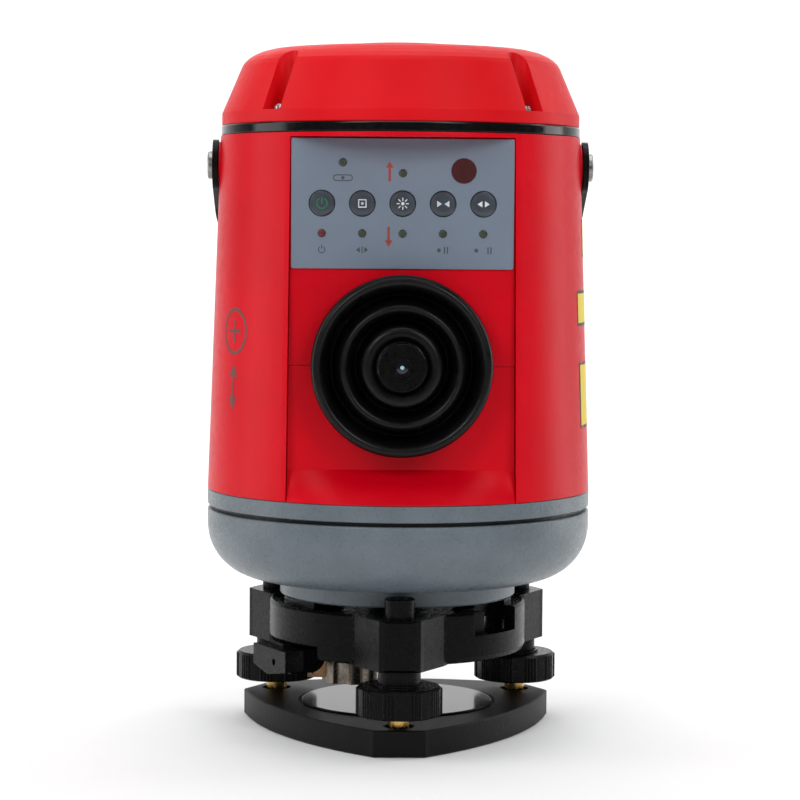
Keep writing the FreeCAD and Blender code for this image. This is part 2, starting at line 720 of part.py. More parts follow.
def make_seal_band():
    return turned([(72.4, SHELL_TOP), (76.7, SHELL_TOP), (77.05, SHELL_TOP + 0.5), (77.05, BAND_TOP - 0.5),
                   (76.7, BAND_TOP), (72.4, BAND_TOP)])


CAP_PROFILE = ((76.3, BAND_TOP), (76.8, 260.6), (76.8, CAP_SLOPE_START), (68.2, 285.3), (67.2, 286.9),
               (65.3, 288.7), (63.0, 290.1), (60.0, 291.4), (56.0, 292.4), (51.0, 292.8), (45.0, 293.0),
               (23.0, CAP_TOP))


def make_top_cap():
    outside = turned([(0, BAND_TOP)] + list(CAP_PROFILE) + [(0, CAP_TOP)])
    inside = turned([(0, BAND_TOP - 1), (73.6, BAND_TOP - 1), (73.6, 265.0), (65.2, 284.3), (61.6, 287.2),
                     (55.0, 289.2), (45.0, 289.8), (0, 290.2)])
    cap = outside.cut(inside)
    below = cylinder(72.2, SHELL_TOP, BAND_TOP + 1)
    for degrees in CAP_SCREW_ANGLES:
        half = POCKET_RADIUS + 2.6
        tower = cylinder(half, SHELL_TOP, 292, POCKET_CIRCLE, 0)
        tower = tower.fuse(block(POCKET_CIRCLE, 80, -half, half, SHELL_TOP, 292))
        tower = turned_by(tower, degrees)
        cap = cap.fuse(tower.common(outside.fuse(below)))
        pocket = cylinder(POCKET_RADIUS, POCKET_FLOOR, 300, POCKET_CIRCLE, 0)
        pocket = pocket.fuse(block(POCKET_CIRCLE, 90, -POCKET_RADIUS, POCKET_RADIUS, POCKET_FLOOR, 300))
        cap = cap.cut(turned_by(pocket, degrees))
        x, y = polar(CAP_SCREW_CIRCLE, degrees)
        cap = cap.cut(cylinder(1.6, SHELL_TOP - 1, POCKET_FLOOR + 1, x, y))
    cap = cap.cut(cylinder(18.0, 280, 300)).cut(cylinder(20.4, 290.9, 300))
    return cap.removeSplitter()


def make_top_cap_screws():
    screws = []
    for degrees in CAP_SCREW_ANGLES:
        screw = turned([(0, 253.0), (1.6, 253.0), (1.6, POCKET_FLOOR), (3.1, POCKET_FLOOR),
                        (3.1, POCKET_FLOOR + 1.2), (2.5, POCKET_FLOOR + 2.1), (1.2, POCKET_FLOOR + 2.4),
                        (0, POCKET_FLOOR + 2.4)])
        slot_floor = POCKET_FLOOR + 1.2
        cross = block(-1.7, 1.7, -0.35, 0.35, slot_floor, 270)
        cross = cross.fuse(block(-0.35, 0.35, -1.7, 1.7, slot_floor, 270))
        screw = screw.cut(cross)
        x, y = polar(CAP_SCREW_CIRCLE, degrees)
        screw.rotate(ORIGIN, ALONG_Z, degrees)
        screw.translate(Vec(x, y, 0))
        screws.append(screw)
    return screws


def make_top_window_ring():
    return turned([(18.0, 293.2), (20.4, 293.2), (20.4, CAP_TOP + 0.05), (BEZEL_RADIUS, CAP_TOP + 0.05),
                   (BEZEL_RADIUS, 294.6), (22.5, BEZEL_TOP), (19.4, BEZEL_TOP), (18.0, 293.9)])


def make_top_window_glass():
    return cylinder(20.4, 290.9, 293.2)


# ---------- handle ----------

def make_handle_bail():
    """Flat strap bent to a U, drawn straight back along +Y and then let down."""
    inner = HANDLE_INNER
    outer = HANDLE_INNER + HANDLE_THICKNESS
    half = HANDLE_WIDTH / 2
    ring = tube(outer, inner, -half, half, 0, HANDLE_ARM)
    ring = ring.common(block(-90, 90, HANDLE_ARM, 120, -20, 20))
    strap = ring
    for side in (-1, 1):
        low, high = side_span(side, inner, outer)
        arm = block(low, high, 0, HANDLE_ARM, -half, half)
        eye = rod_x(HANDLE_EYE_RADIUS, low, high, 0, 0)
        corners = [Vec(low, 0, -HANDLE_EYE_RADIUS), Vec(low, 0, HANDLE_EYE_RADIUS),
                   Vec(low, HANDLE_ARM, half), Vec(low, HANDLE_ARM, -half)]
        shoulder = Part.Face(Part.makePolygon(corners + corners[:1])).extrude(Vec(high - low, 0, 0))
        strap = united([strap, arm, eye, shoulder])
        strap = strap.cut(rod_x(PIVOT_RADIUS + RUNNING_GAP, low - 1, high + 1, 0, 0))
    strap.rotate(ORIGIN, ALONG_X, -HANDLE_DROOP)
    strap.translate(Vec(0, 0, HANDLE_HEIGHT))
    return strap


def make_handle_bolts():
    bolts = []
    for side in (-1, 1):
        head = side_rod(side, 5.95, BOLT_SEAT, BOLT_FACE)
        rims = [edge for edge in head.Edges if abs(edge.BoundBox.XMin * side - BOLT_FACE) < 0.01]
        head = head.makeChamfer(0.5, rims)
        shank = side_rod(side, PIVOT_RADIUS, 70, BOLT_SEAT)
        socket = side_rod(side, 2.4, BOLT_FACE - 1.4, BOLT_FACE + 1)
        bolts.append(shank.fuse(head).cut(socket))
    return bolts


# ---------- boot, telescope and gimbal ----------

def make_bellows_boot():
    return turned_front([(30.0, 62.0), (37.6, 62.0), (37.6, 73.0), (36.2, 75.4), (33.8, 76.0), (31.8, 74.8),
                         (30.4, 71.0), (28.6, 66.8), (26.6, 67.0), (25.6, 73.4), (23.6, 75.4), (21.6, 73.6),
                         (20.4, 68.2), (17.2, 67.0), (17.2, 65.0), (30.0, 64.6)])


def make_boot_collar():
    return turned_front([(10.4, 66.0), (14.9, 66.0), (15.2, 72.6), (14.0, 75.2), (12.4, 75.6), (10.9, 74.2),
                         (10.9, 70.2), (10.4, 70.2)])


def make_gimbal_frame():
    low = EYE_HEIGHT - 5
    high = EYE_HEIGHT + 5
    frame = block(-42, 42, -36, 34, low, high).cut(block(-36, 36, -30, 28, low - 1, high + 1))
    sleeve = rod_front(10.4, 70.0, 30.0, 0, EYE_HEIGHT)
    frame = frame.fuse(sleeve).fuse(rod_front(7.0, -34.0, -38.0, 0, EYE_HEIGHT))
    for side in (-1, 1):
        low, high = side_span(side, 41, 53)
        frame = frame.fuse(rod_x(TRUNNION_RADIUS, low, high, 0, EYE_HEIGHT))
    frame = frame.cut(rod_front(ARM_RADIUS + RUNNING_GAP, 75, 29, 0, EYE_HEIGHT))
    frame = frame.cut(rod_front(TRUNNION_RADIUS + RUNNING_GAP, -27, -40, 0, EYE_HEIGHT))
    return frame.removeSplitter()


def make_telescope_tube():
    barrel = tube(22, BARREL_BORE, 118, 250)
    floor = tube(20, 6, 118, 121)
    arm = rod_front(ARM_RADIUS, 69.0, 20.0, 0, EYE_HEIGHT)
    tail = rod_front(TRUNNION_RADIUS, -20.0, -36.0, 0, EYE_HEIGHT)
    barrel = united([barrel, floor, arm, tail])
    barrel = barrel.cut(rod_front(EYEPIECE_SHANK + RUNNING_GAP, 75, 15, 0, EYE_HEIGHT))
    return barrel.cut(block(18, 24, -3.5, 3.5, 190, 226))


def make_telescope_optics():
    objective = tube(BARREL_BORE, 17.5, 240, 247).fuse(cylinder(17.5, 241, 246))
    prism_cube = block(-8, 8, -8, 8, EYE_HEIGHT - 8, EYE_HEIGHT + 8)
    shelf = tube(BARREL_BORE, 5, EYE_HEIGHT - 10, EYE_HEIGHT - 8)
    return [objective, prism_cube.fuse(shelf)]


def make_focus_drive():
    motor = cylinder(6, 168, 186, FOCUS_SCREW_X, 0)
    mount = block(21.95, 30, -4, 4, 186, 188)
    screw = cylinder(FOCUS_SCREW_RADIUS, 188, 232, FOCUS_SCREW_X, 0)
    top_mount = block(21.95, 31, -3, 3, 232, 234)
    return united([motor, mount, screw, top_mount])


def make_focus_cell():
    cell = tube(BARREL_BORE - RUNNING_GAP, 15, 203, 213).fuse(cylinder(15, 206, 209))
    tab = block(17, 32, -3, 3, 205, 211).cut(cylinder(15, 200, 215))
    cell = cell.fuse(tab)
    return cell.cut(cylinder(FOCUS_SCREW_RADIUS + RUNNING_GAP, 200, 215, FOCUS_SCREW_X, 0))


def make_eyepiece_ring():
    """Flat-faced knurled ring with a narrow sight hole in front of the lens."""
    return turned_front([(4.6, 82.0), (4.6, 79.0), (4.8, 79.0), (4.8, 76.5), (4.2, 76.5), (4.2, 50.0),
                         (EYEPIECE_SHANK, 50.0), (EYEPIECE_SHANK, 70.5), (9.4, 70.5), (9.8, 70.9),
                         (9.8, 81.75), (9.55, 82.0)])


def make_eyepiece_lens():
    return turned_front([(0, 76.5), (4.8, 76.5), (4.8, 78.0), (2.6, 78.5), (0, 78.7)])


# ---------- head: inside ----------

def make_side_frames():
    frames = []
    for side in (-1, 1):
        low, high = side_span(side, 46, 51)
        post = block(low, high, -16, 16, HEAD_FLOOR, EYE_HEIGHT + 12)
        low, high = side_span(side, 46, 60)
        post = post.fuse(block(low, high, -16, 16, HEAD_FLOOR, HEAD_FLOOR + 4))
        bore = rod_x(TRUNNION_RADIUS + RUNNING_GAP, -60, 60, 0, EYE_HEIGHT)
        frames.append(post.cut(bore).removeSplitter())
    return frames


def make_levelling_actuators():
    actuators = []
    for x, y in ((0.0, 31.0), (39.0, -20.0)):
        motor = cylinder(7.0, HEAD_FLOOR, 132.0, x, y)
        actuators.append(motor.fuse(cylinder(1.5, 132.0, EYE_HEIGHT - 6.6, x, y)))
    return actuators


def make_main_board():
    board = block(-34, 34, 46.0, 47.6, 112, 238)
    chips = [block(-20, -4, 43.5, 46.0, 200, 216), block(4, 26, 42.0, 46.0, 196, 204),
             block(-24, -10, 41.0, 46.0, 120, 130), block(8, 20, 43.0, 46.0, 218, 230)]
    return united([board] + chips)


def make_battery_tray():
    outer = block(-31, 31, 49.0, 72.0, DOOR_BOTTOM - 2.7, DOOR_TOP + 2.5)
    tray = outer.cut(block(-29, 29, 51.0, 73.0, DOOR_BOTTOM - 0.7, DOOR_TOP + 0.5))
    return tray.common(shell_solid(WALL + 0.4))


def make_battery_cells():
    cells = []
    for index in range(3):
        z = 131.0 + 18.2 * index
        body = rod_x(8.6, -26, 26, 60.2, z)
        tip = rod_x(2.6, 26, 27.6, 60.2, z)
        cells.append(body.fuse(tip))
    return cells


def make_battery_door():
    door = shell_solid(0).cut(shell_solid(WALL)).common(door_block(DOOR_GAP))
    half = KNUCKLE_IN - DOOR_GAP
    lug = block(-half, half, 79.0, DOOR_AXIS_Y, DOOR_AXIS_Z, 126.0)
    lug = lug.cut(block(-5, 5, 70, DOOR_AXIS_Y - KNUCKLE_RADIUS, 100, DOOR_BOTTOM + DOOR_GAP))
    door = door.fuse(lug).fuse(door_knuckle(-half, half)).removeSplitter()
    door = door.cut(rod_x(DOOR_PIN_RADIUS + RUNNING_GAP, -6, 6, DOOR_AXIS_Y, DOOR_AXIS_Z))
    return door.cut(rod_front(LATCH_RADIUS + RUNNING_GAP, -40, -90, 0, LATCH_HEIGHT))


def make_battery_latch():
    knob = rod_front(LATCH_RADIUS, -75.8, -81.6, 0, LATCH_HEIGHT)
    return knob.cut(block(-5, 5, 80.3, 90, LATCH_HEIGHT - 0.8, LATCH_HEIGHT + 0.8))


# ---------- output ----------

def nodes():
    """Node name and shapes of every sub-part, from the tripod up."""
    parts = {
        "base_plate": make_base_plate(),
        "tripod_thread_insert": make_tripod_thread_insert(),
        "spring_plate": make_spring_plate(),
        "spring_plate_screws": make_spring_plate_screws(),
        "tribrach_body": make_tribrach_body(),
        "foot_screw_bushes": make_foot_screw_bushes(),
        "foot_screw_dust_caps": make_foot_screw_dust_caps(),
        "clamp_plate": make_clamp_plate(),
        "lock_lever": make_lock_lever(),
        "lever_set_screw": make_lever_set_screw(),
        "clamp_lobed_nut": make_clamp_lobed_nut(),
        "clamp_leaf_spring": make_clamp_leaf_spring(),
        "base_bowl": make_base_bowl(),
        "centring_studs": make_centring_studs(),
        "lower_window": make_lower_window(),
        "gap_seal_ring": make_gap_seal_ring(),
        "azimuth_bearing": make_azimuth_bearing(),
        "head_base_ring": make_head_base_ring(),
        "azimuth_spindle": make_azimuth_spindle(),
        "housing_shell": make_housing_shell(),
        "front_cover": make_front_cover(),
        "keypad_panel": make_keypad_panel(),
        "keypad_board": make_keypad_board(),
        "status_leds": make_status_leds(),
        "power_led": make_power_led(),
        "ir_window": make_ir_window(),
        "seal_band": make_seal_band(),
        "top_cap": make_top_cap(),
        "top_cap_screws": make_top_cap_screws(),
        "top_window_ring": make_top_window_ring(),
        "top_window_glass": make_top_window_glass(),
        "handle_bail": make_handle_bail(),
        "handle_bolts": make_handle_bolts(),
        "bellows_boot": make_bellows_boot(),
        "boot_collar": make_boot_collar(),
        "gimbal_frame": make_gimbal_frame(),
        "telescope_tube": make_telescope_tube(),
        "telescope_optics": make_telescope_optics(),
        "focus_drive": make_focus_drive(),
        "focus_cell": make_focus_cell(),
        "eyepiece_ring": make_eyepiece_ring(),
        "eyepiece_lens": make_eyepiece_lens(),
        "side_frames": make_side_frames(),
        "levelling_actuators": make_levelling_actuators(),
        "main_board": make_main_board(),
        "battery_tray": make_battery_tray(),
        "battery_cells": make_battery_cells(),
        "battery_door": make_battery_door(),
        "battery_latch": make_battery_latch(),
    }
    for name in SCREW_ANGLES:
        parts["foot_knob_" + name] = make_foot_knob(name)
        parts["foot_spindle_" + name] = make_foot_spindle(name)
    for name in KEY_PLACES:
        parts[name] = make_key(name)
    return parts


def main():
    os.makedirs("parts", exist_ok=True)
    for name, shape in nodes().items():
        solids = shape if isinstance(shape, list) else [shape]
        whole = Part.makeCompound([solid for item in solids for solid in item.Solids])
        whole.exportStep(os.path.join("parts", name + ".step"))
        print(name, len(whole.Solids), whole.isValid(), round(whole.Volume / 1000, 2))


main()
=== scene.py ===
import json
import math

import bmesh
import bpy
from mathutils import Matrix, Vector


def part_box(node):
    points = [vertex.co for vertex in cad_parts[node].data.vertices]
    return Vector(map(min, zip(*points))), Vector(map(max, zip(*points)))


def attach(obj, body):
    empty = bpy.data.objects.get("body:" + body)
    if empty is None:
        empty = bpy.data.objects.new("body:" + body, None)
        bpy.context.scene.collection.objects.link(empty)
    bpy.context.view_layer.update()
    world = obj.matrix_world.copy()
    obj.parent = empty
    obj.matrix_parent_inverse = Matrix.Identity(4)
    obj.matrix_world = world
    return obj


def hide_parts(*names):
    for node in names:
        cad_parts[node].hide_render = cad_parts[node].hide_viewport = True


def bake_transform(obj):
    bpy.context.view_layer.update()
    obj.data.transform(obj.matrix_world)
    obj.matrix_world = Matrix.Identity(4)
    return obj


# Looks of a self-levelling laser plummet on its tribrach. Metres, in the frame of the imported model:
# +Z is up, and the keypad and the eyepiece face -Y.

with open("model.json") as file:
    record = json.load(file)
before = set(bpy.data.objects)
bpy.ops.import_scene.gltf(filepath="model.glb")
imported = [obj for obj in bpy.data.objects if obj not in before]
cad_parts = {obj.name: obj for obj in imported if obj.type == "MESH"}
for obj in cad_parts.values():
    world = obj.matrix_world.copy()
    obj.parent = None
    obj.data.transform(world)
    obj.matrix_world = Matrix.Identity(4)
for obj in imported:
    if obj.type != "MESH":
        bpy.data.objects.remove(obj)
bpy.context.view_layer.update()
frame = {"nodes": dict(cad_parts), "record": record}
nodes = frame["nodes"]
MM = 0.001


# ---------- places, worked out from the frame ----------

def centre(node):
    low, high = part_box(node)
    return (low + high) / 2


SHELL_LOW, SHELL_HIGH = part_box("housing_shell")
PANEL_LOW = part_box("keypad_panel")[0]
KEYS = {name: centre(name) for name in ("key_power", "key_set", "key_laser", "key_near", "key_far")}
EYE = centre("boot_collar")
EYE_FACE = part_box("bellows_boot")[1].y


# ---------- node helpers ----------

GLOSS_DETAIL = 4.0
# Noise that breaks up the painted highlight along sharp edges.
EDGE_HIGHLIGHT_SCALE = 900.0
EDGE_HIGHLIGHT_DETAIL = 5.0


class Look:
    """A Principled material under construction."""

    def __init__(self, name, colour, roughness, metallic=0.0):
        self.material = bpy.data.materials.new(name)
        self.material.use_nodes = True
        self.tree = self.material.node_tree
        self.tree.nodes.clear()
        out = self.tree.nodes.new("ShaderNodeOutputMaterial")
        self.shader = self.tree.nodes.new("ShaderNodeBsdfPrincipled")
        self.link(self.shader.outputs["BSDF"], out.inputs["Surface"])
        self.set("Metallic", metallic)
        self.set("Base Color", (*colour, 1.0))
        self.set("Roughness", roughness)
        self.colour = colour
        self.roughness = roughness
        self.normal = None
        self.tint = None

    def link(self, source, target):
        self.tree.links.new(source, target)

    def set(self, socket, value):
        self.shader.inputs[socket].default_value = value

    def node(self, kind, **values):
        made = self.tree.nodes.new(kind)
        for key, value in values.items():
            setattr(made, key, value)
        return made

    def position(self):
        return self.node("ShaderNodeTexCoord").outputs["Object"]

    def noise(self, scale, detail=3.0, roughness=0.55, stretch=None):
        """Noise over the piece's own coordinates; scale is per metre."""
        where = self.position()
        if stretch:
            mapping = self.node("ShaderNodeMapping")
            mapping.inputs["Scale"].default_value = stretch
            self.link(where, mapping.inputs["Vector"])
            where = mapping.outputs["Vector"]
        made = self.node("ShaderNodeTexNoise")
        made.inputs["Scale"].default_value = scale
        made.inputs["Detail"].default_value = detail
        made.inputs["Roughness"].default_value = roughness
        self.link(where, made.inputs["Vector"])
        return made.outputs["Fac"]

    def ranged(self, source, low, high, to_low, to_high):
        made = self.node("ShaderNodeMapRange")
        for socket, value in zip(("From Min", "From Max", "To Min", "To Max"), (low, high, to_low, to_high)):
            made.inputs[socket].default_value = value
        self.link(source, made.inputs["Value"])
        return made.outputs["Result"]

    def mixed(self, factor, first, second):
        """Colour that goes from first to second; each is a colour or a socket."""
        made = self.node("ShaderNodeMix", data_type="RGBA")
        for socket, value in ((made.inputs[6], first), (made.inputs[7], second)):
            if isinstance(value, bpy.types.NodeSocket):
                self.link(value, socket)
            else:
                socket.default_value = (*value, 1.0)
        if isinstance(factor, bpy.types.NodeSocket):
            self.link(factor, made.inputs[0])
        else:
            made.inputs[0].default_value = factor
        return made.outputs[2]

    def paint(self, source):
        self.tint = source
        self.link(source, self.shader.inputs["Base Color"])

    def shade(self, low, high, scale, detail=3.0):
        """Colour that wanders between two multiples of the base colour."""
        drift = self.ranged(self.noise(scale, detail), 0.35, 0.65, 0.0, 1.0)
        dark = tuple(channel * low for channel in self.colour)
        light = tuple(min(channel * high, 1.0) for channel in self.colour)
        self.paint(self.mixed(drift, dark, light))

    def gloss(self, spread, scale):
        """Roughness that wanders by plus or minus spread."""
        drift = self.noise(scale, GLOSS_DETAIL)
        low = max(self.roughness - spread, 0.02)
        high = min(self.roughness + spread, 1.0)
        self.link(self.ranged(drift, 0.3, 0.7, low, high), self.shader.inputs["Roughness"])

    def round_edges(self, radius):
        made = self.node("ShaderNodeBevel", samples=6)
        made.inputs["Radius"].default_value = radius
        self.normal = made.outputs["Normal"]
        self.link(self.normal, self.shader.inputs["Normal"])

    def bump(self, height, depth, strength=1.0):
        made = self.node("ShaderNodeBump")
        made.inputs["Distance"].default_value = depth
        made.inputs["Strength"].default_value = strength
        self.link(height, made.inputs["Height"])
        if self.normal:
            self.link(self.normal, made.inputs["Normal"])
        self.normal = made.outputs["Normal"]
        self.link(self.normal, self.shader.inputs["Normal"])

    def painted_edge_highlight(self, radius, colour, amount):
        """Painted highlight along sharp edges: a lighter colour, broken up by noise."""
        soft = self.node("ShaderNodeBevel", samples=6)
        soft.inputs["Radius"].default_value = radius
        flat = self.node("ShaderNodeNewGeometry")
        turn = self.node("ShaderNodeVectorMath", operation="DOT_PRODUCT")
        self.link(soft.outputs["Normal"], turn.inputs[0])
        self.link(flat.outputs["Normal"], turn.inputs[1])
        edge = self.ranged(turn.outputs["Value"], 0.985, 0.86, 0.0, 1.0)
        patchy = self.ranged(self.noise(EDGE_HIGHLIGHT_SCALE, EDGE_HIGHLIGHT_DETAIL), 0.42, 0.62, 0.0, amount)
        both = self.node("ShaderNodeMath", operation="MULTIPLY")
        self.link(edge, both.inputs[0])
        self.link(patchy, both.inputs[1])
        self.paint(self.mixed(both.outputs[0], self.tint or self.colour, colour))


def srgb(red, green, blue):
    """Linear colour from 0 to 255 screen values."""
    def linear(value):
        value /= 255.0
        return value / 12.92 if value <= 0.04045 else ((value + 0.055) / 1.055) ** 2.4
    return linear(red), linear(green), linear(blue)


# ---------- materials ----------

PAINT_BLACK = (0.0018, 0.0018, 0.002)
METAL_GRAIN = (1.0, 1.0, 12.0)
DISC_EDGE = 41.0 * MM
DISC_BLUR = 0.6 * MM


def red_plastic(name, colour, roughness):
    look = Look(name, colour, roughness)
    look.shade(0.93, 1.05, 22.0, 2.0)
    look.round_edges(0.5 * MM)
    look.gloss(0.05, 260.0)
    look.bump(look.noise(5200.0, 2.0), 0.02 * MM, 0.5)
    look.set("Specular IOR Level", 0.14)
    look.painted_edge_highlight(0.35 * MM, tuple(min(channel * 1.3 + 0.01, 1.0) for channel in colour), 0.5)
    return look.material


def grey_paint():
    look = Look("grey_paint", srgb(96, 107, 114), 0.32)
    look.shade(0.9, 1.06, 60.0)
    look.round_edges(0.4 * MM)
    look.gloss(0.08, 500.0)
    look.bump(look.noise(620.0, 4.0, 0.6), 0.3 * MM, 0.8)
    look.painted_edge_highlight(0.3 * MM, srgb(140, 148, 153), 0.5)
    return look.material


def black_paint(name, roughness, grain, depth, shine=0.1):
    look = Look(name, PAINT_BLACK, roughness)
    look.shade(0.75, 1.3, 120.0)
    look.round_edges(0.4 * MM)
    look.gloss(0.07, 420.0)
    look.bump(look.noise(grain, 4.0, 0.6), depth, 0.7)
    look.set("Specular IOR Level", shine)
    look.painted_edge_highlight(0.3 * MM, (0.03, 0.03, 0.031), 0.6)
    return look.material


def turned_black():
    look = Look("black_turned", PAINT_BLACK, 0.3)
    look.shade(0.7, 1.4, 200.0)
    look.round_edges(0.3 * MM)
    look.gloss(0.1, 700.0)
    look.bump(look.noise(600.0, 3.0, stretch=(1.0, 1.0, 14.0)), 0.03 * MM, 0.6)
    look.set("Specular IOR Level", 0.11)
    look.painted_edge_highlight(0.25 * MM, (0.045, 0.044, 0.042), 0.7)
    return look.material


def rubber():
    look = Look("rubber", (0.0026, 0.0024, 0.0028), 0.34)
    look.shade(0.8, 1.5, 90.0)
    look.gloss(0.09, 200.0)
    look.bump(look.noise(2600.0, 3.0), 0.03 * MM, 0.6)
    look.set("Specular IOR Level", 0.2)
    return look.material


# The last argument is the lighter colour of the painted highlight along sharp edges.
def metal(name, colour, roughness, highlight_colour=(0.5, 0.45, 0.4)):
    look = Look(name, colour, roughness, 1.0)
    look.shade(0.72, 1.12, 260.0)
    look.round_edges(0.25 * MM)
    look.gloss(0.1, 900.0)
    look.bump(look.noise(900.0, 3.0, stretch=METAL_GRAIN), 0.02 * MM, 0.7)
    look.painted_edge_highlight(0.2 * MM, highlight_colour, 0.6)
    return look.material


def membrane():
    look = Look("keypad", srgb(111, 123, 139), 0.42)
    look.shade(0.97, 1.03, 40.0)
    look.round_edges(0.4 * MM)
    look.gloss(0.05, 300.0)
    look.bump(look.noise(4200.0, 2.0), 0.012 * MM, 0.5)
    look.painted_edge_highlight(0.25 * MM, srgb(150, 162, 176), 0.5)
    return look.material


def plastic(name, colour, roughness, coat=0.0):
    look = Look(name, colour, roughness)
    look.shade(0.88, 1.1, 300.0)
    look.round_edges(0.2 * MM)
    look.gloss(0.05, 600.0)
    look.bump(look.noise(3000.0, 2.0), 0.01 * MM, 0.5)
    look.set("Coat Weight", coat)
    look.painted_edge_highlight(0.15 * MM, tuple(min(channel * 1.3 + 0.01, 1.0) for channel in colour), 0.4)
    return look.material


def clear(name, colour, roughness):
    look = Look(name, colour, roughness)
    look.shade(0.94, 1.04, 60.0)
    look.gloss(0.02, 400.0)
    look.bump(look.noise(1500.0, 2.0), 0.004 * MM, 0.4)
    look.set("Transmission Weight", 1.0)
    look.set("IOR", 1.5)
    look.set("Coat Weight", 0.4)
    return look.material


def coated_lens():
    """Dark glass with a thin violet coating."""
    look = Look("lens", (0.006, 0.006, 0.012), 0.05)
    look.shade(0.7, 1.4, 300.0)
    look.gloss(0.02, 700.0)
    look.bump(look.noise(1500.0, 2.0), 0.003 * MM, 0.4)
    look.set("Coat Weight", 0.8)
    look.set("Coat Roughness", 0.03)
    look.set("Coat Tint", (0.55, 0.5, 1.0, 1.0))
    return look.material


def print_ink(name, colour, low=0.85, high=1.12):
    look = Look(name, colour, 0.5)
    look.shade(low, high, 400.0)
    look.gloss(0.06, 700.0)
    look.bump(look.noise(5000.0, 2.0), 0.008 * MM, 0.5)
    return look.material


def circuit_board():
    look = Look("board", (0.01, 0.07, 0.03), 0.4)
    look.shade(0.7, 1.4, 500.0, 5.0)
    look.round_edges(0.2 * MM)
    look.gloss(0.08, 900.0)
    look.bump(look.noise(1200.0, 5.0), 0.04 * MM, 0.6)
    return look.material


MATERIALS = {
    "red_housing": red_plastic("red_housing", srgb(208, 0, 24), 0.36),
    "red_cap": red_plastic("red_cap", srgb(212, 14, 24), 0.42),
    "grey_paint": grey_paint(),
    "black_cast": black_paint("black_cast", 0.26, 1100.0, 0.16 * MM),
    "black_gloss": black_paint("black_gloss", 0.13, 300.0, 0.04 * MM, 0.4),
    "black_turned": turned_black(),
    "black_plastic": black_paint("black_plastic", 0.36, 2600.0, 0.03 * MM),
    "rubber": rubber(),
    "brass": metal("brass", (0.66, 0.42, 0.14), 0.22, highlight_colour=(0.9, 0.7, 0.35)),
    "bronze": metal("bronze", (0.26, 0.15, 0.08), 0.36),
    "nickel": metal("nickel", (0.2, 0.175, 0.145), 0.3, highlight_colour=(0.34, 0.31, 0.27)),
    "steel": metal("steel", (0.5, 0.5, 0.5), 0.3, highlight_colour=(0.8, 0.8, 0.8)),
    "aluminium": metal("aluminium", (0.6, 0.61, 0.62), 0.35, highlight_colour=(0.85, 0.85, 0.85)),
    "keypad": membrane(),
    "key": plastic("key", srgb(54, 61, 70), 0.34, 0.3),
    "led_clear": plastic("led_clear", srgb(58, 66, 56), 0.25, 0.4),
    "led_red": plastic("led_red", srgb(94, 44, 44), 0.25, 0.4),
    "ir_filter": plastic("ir_filter", srgb(70, 30, 32), 0.16, 0.8),
    "glass": clear("glass", (0.86, 0.93, 0.93), 0.03),
    "lens": coated_lens(),
    "board": circuit_board(),
    "print_dark": print_ink("print_dark", srgb(62, 68, 76)),
    "print_red": print_ink("print_red", srgb(150, 55, 45)),
    "print_white": print_ink("print_white", srgb(205, 211, 217)),
    "print_green": print_ink("print_green", srgb(28, 118, 72)),
    "print_brown": print_ink("print_brown", srgb(104, 56, 52)),
    "label_yellow": print_ink("label_yellow", srgb(226, 200, 50), 0.96, 1.03),
    "label_black": print_ink("label_black", srgb(34, 30, 22)),
    # Pale ink for the painted glint of light on the eyepiece lens.
    "lens_painted_glint": print_ink("lens_painted_glint", srgb(160, 214, 204)),
    "cell": plastic("cell", srgb(52, 84, 110), 0.35),
}


def plate_paint():
    """Black paint on the base plate, rough round the edge and polished on the raised disc."""
    look = Look("plate_paint", PAINT_BLACK, 0.4)
    look.shade(0.75, 1.3, 120.0)
    look.round_edges(0.4 * MM)
    split = look.node("ShaderNodeSeparateXYZ")
    look.link(look.position(), split.inputs["Vector"])
    squares = []
    for axis in ("X", "Y"):
        square = look.node("ShaderNodeMath", operation="POWER")
        square.inputs[1].default_value = 2.0
        size = look.node("ShaderNodeMath", operation="ABSOLUTE")
        look.link(split.outputs[axis], size.inputs[0])
        look.link(size.outputs[0], square.inputs[0])
        squares.append(square.outputs[0])
    total = look.node("ShaderNodeMath", operation="ADD")
    look.link(squares[0], total.inputs[0])
    look.link(squares[1], total.inputs[1])
    outside = look.ranged(total.outputs[0], DISC_EDGE ** 2, (DISC_EDGE + DISC_BLUR) ** 2, 0.0, 1.0)
    grain = look.node("ShaderNodeMath", operation="MULTIPLY")
    look.link(look.noise(1000.0, 4.0, 0.6), grain.inputs[0])
    look.link(outside, grain.inputs[1])
    look.bump(grain.outputs[0], 0.22 * MM, 0.8)
    look.link(look.ranged(outside, 0.0, 1.0, 0.16, 0.46), look.shader.inputs["Roughness"])
    look.set("Specular IOR Level", 0.16)
    look.painted_edge_highlight(0.3 * MM, (0.03, 0.03, 0.031), 0.6)
    return look.material


def dress_frame():
    """Give each carried-over node the material of its slot, and three of them a look of their own."""
    for entry in frame["record"]["subparts"]:
        obj = nodes[entry["node"]]
        obj.data.materials.clear()
        obj.data.materials.append(MATERIALS[entry["material_slot"]])
    nodes["base_plate"].data.materials[0] = plate_paint()
    nodes["seal_band"].data.materials[0] = black_paint("band_gloss", 0.16, 900.0, 0.02 * MM, 0.35)
    nodes["handle_bolts"].data.materials[0] = metal(
        "bolt_steel", (0.33, 0.32, 0.3), 0.34, highlight_colour=(0.5, 0.49, 0.47))


# ---------- stage, light and camera ----------

def plain_material(name, colour, roughness):
    look = Look(name, colour, roughness)
    look.shade(0.985, 1.0, 3.0)
    return look.material


